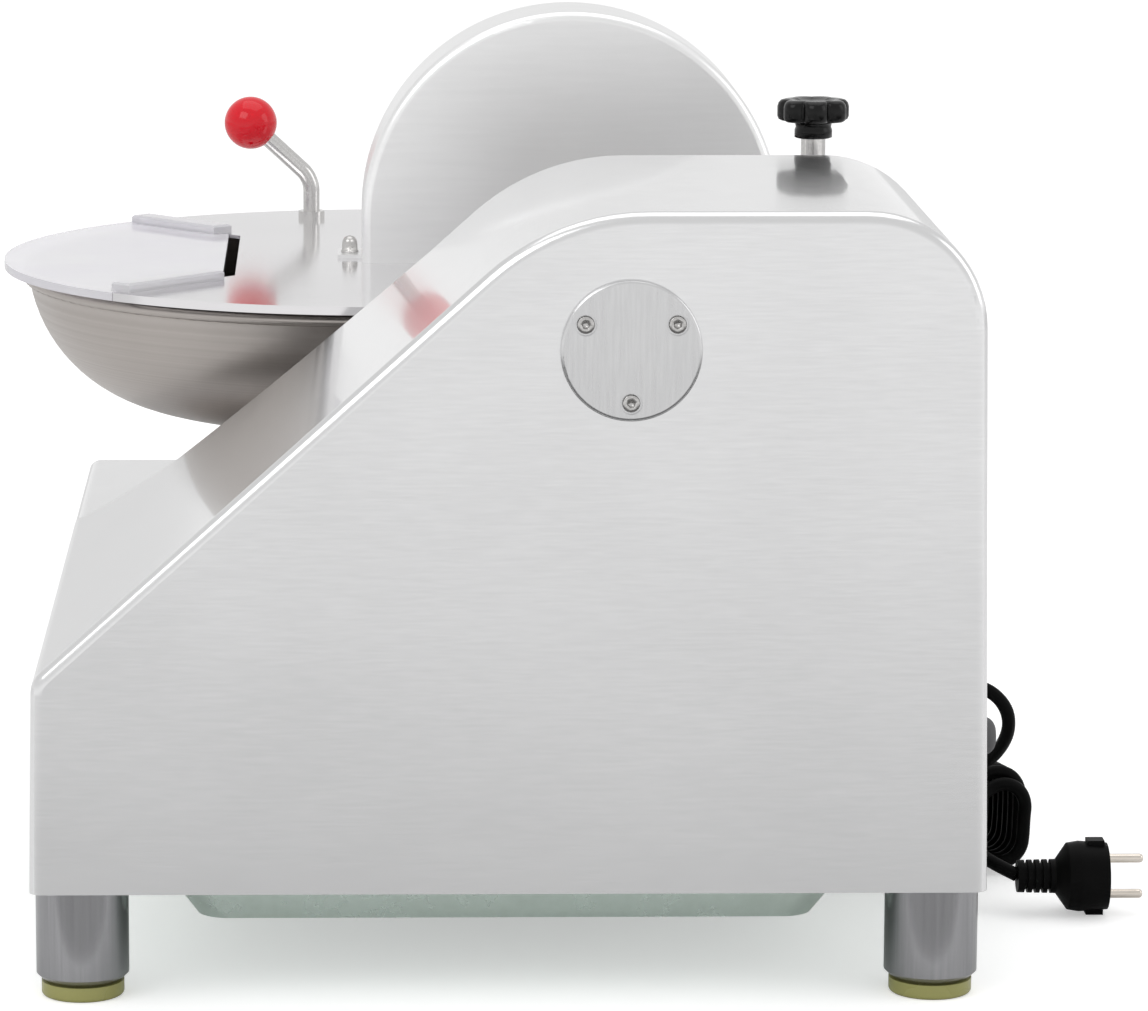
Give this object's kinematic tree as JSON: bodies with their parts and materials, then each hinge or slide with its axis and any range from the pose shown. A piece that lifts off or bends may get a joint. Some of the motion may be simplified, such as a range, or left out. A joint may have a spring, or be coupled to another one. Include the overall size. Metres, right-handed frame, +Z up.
{
  "type": "bowl cutter",
  "caption": "Bench-top meat bowl cutter: sloped motor housing on a low platform, turning trough bowl, curved knives under a hinged lid with a half-round cover.",
  "frame": {"origin": "middle of the machine's footprint on the floor, cord left out", "axes": "+X towards the end panel, +Y towards the rear with the hinge and cord, +Z up"},
  "size_m": [0.757, 0.614, 0.445],
  "materials": {
    "housing_metal": "satin cast and painted silver",
    "cover_metal": "machined",
    "leg_metal": "turned",
    "pan_steel": "zinc-plated sheet",
    "bolt_steel": "machined",
    "shaft_steel": "ground",
    "blade_steel": "ground",
    "sleeve_steel": "turned",
    "pulley_metal": "turned",
    "belt_rubber": "matte",
    "motor_paint": "satin enamel",
    "cast_iron": "as cast",
    "wheel_bronze": "machined bronze",
    "bowl_steel": "spun and polished",
    "lid_steel": "brushed",
    "dome_steel": "polished",
    "clear_plastic": "clear",
    "knob_plastic": "moulded",
    "switch_plastic": "moulded",
    "start_plastic": "moulded",
    "stop_plastic": "moulded",
    "bumper_rubber": "moulded",
    "pad_rubber": "moulded, slightly see-through",
    "ball_plastic": "moulded",
    "cord_rubber": "extruded",
    "plug_plastic": "moulded",
    "pin_metal": "nickel plated"
  },
  "bodies": {
    "base": {"housing": "housing_metal", "bottom_pan": "pan_steel", "leg_bolts": "bolt_steel", "shaft_cover": "cover_metal", "cover_screws": "bolt_steel", "rear_bearing": "shaft_steel", "front_bearing": "shaft_steel", "shaft_sleeve": "sleeve_steel", "sleeve_screws": "bolt_steel", "drive_belt": "belt_rubber", "motor": "motor_paint", "motor_bolts": "bolt_steel", "worm_bearing_blocks": "cast_iron", "spindle_tube": "pulley_metal", "spindle_bearings": "shaft_steel", "spindle_bolts": "bolt_steel", "hinge_clamp": "cover_metal", "clamp_screws": "bolt_steel", "switch_station": "switch_plastic", "rear_bumper": "bumper_rubber", "cable_gland": "switch_plastic", "power_cord": "cord_rubber", "cord_hank": "cord_rubber", "plug_lead": "cord_rubber", "plug_body": "plug_plastic", "plug_pins": "pin_metal", "leg_1": "leg_metal", "foot_pad_1": "pad_rubber", "leg_2": "leg_metal", "foot_pad_2": "pad_rubber", "leg_3": "leg_metal", "foot_pad_3": "pad_rubber", "leg_4": "leg_metal", "foot_pad_4": "pad_rubber"},
    "lid": {"lid_plate": "lid_steel", "window_plate": "clear_plastic", "window_strips": "clear_plastic", "knife_dome": "dome_steel", "dome_bolts": "bolt_steel", "lid_handle": "shaft_steel", "ball_knob": "ball_plastic", "hinge_arm_1": "lid_steel", "hinge_arm_2": "lid_steel", "hinge_rod": "shaft_steel"},
    "knife_shaft": {"knife_shaft": "shaft_steel", "knife_1": "blade_steel", "knife_2": "blade_steel", "knife_spacer": "shaft_steel", "knife_nut": "shaft_steel", "knife_pulley": "pulley_metal"},
    "motor_shaft": {"motor_shaft": "shaft_steel", "motor_pulley": "pulley_metal"},
    "bowl": {"bowl": "bowl_steel", "bowl_spindle": "shaft_steel", "bowl_nut": "knob_plastic", "worm_wheel": "wheel_bronze"},
    "lid_knob": {"knob_stud": "shaft_steel", "star_knob": "knob_plastic"},
    "start_button": {"start_button": "start_plastic"},
    "stop_button": {"stop_button": "stop_plastic"}
  },
  "joints": [
    {"name": "motor_spin", "type": "hinge", "parent": "base", "child": "motor_shaft", "pos_m": [0.2245, 0.0705, 0.127], "axis": [1, 0, 0], "continuous": true},
    {"name": "knife_spin", "type": "hinge", "parent": "base", "child": "knife_shaft", "pos_m": [-0.0255, 0.0705, 0.325], "axis": [1, 0, 0], "continuous": true},
    {"name": "bowl_spin", "type": "hinge", "parent": "base", "child": "bowl", "pos_m": [-0.1615, -0.0465, 0.283], "axis": [0, 0, 1], "continuous": true},
    {"name": "lid_hinge", "type": "hinge", "parent": "base", "child": "lid", "pos_m": [-0.1615, 0.2085, 0.307], "axis": [-1, 0, 0], "range_deg": [0, 85]},
    {"name": "knob_turn", "type": "hinge", "parent": "base", "child": "lid_knob", "pos_m": [0.0875, 0.1825, 0.38], "axis": [0, 0, 1], "range_deg": [0, 360]},
    {"name": "start_press", "type": "slide", "parent": "base", "child": "start_button", "axis": [0, 1, 0], "range_m": [0, 0.004], "stiffness_N_per_m": 500},
    {"name": "stop_press", "type": "slide", "parent": "base", "child": "stop_button", "axis": [0, 1, 0], "range_m": [0, 0.004], "stiffness_N_per_m": 500}
  ],
  "couplings": [
    {"joint": "knife_spin", "follows": "motor_spin", "ratio": 1.5},
    {"joint": "bowl_spin", "follows": "motor_spin", "ratio": 0.017857}
  ]
}
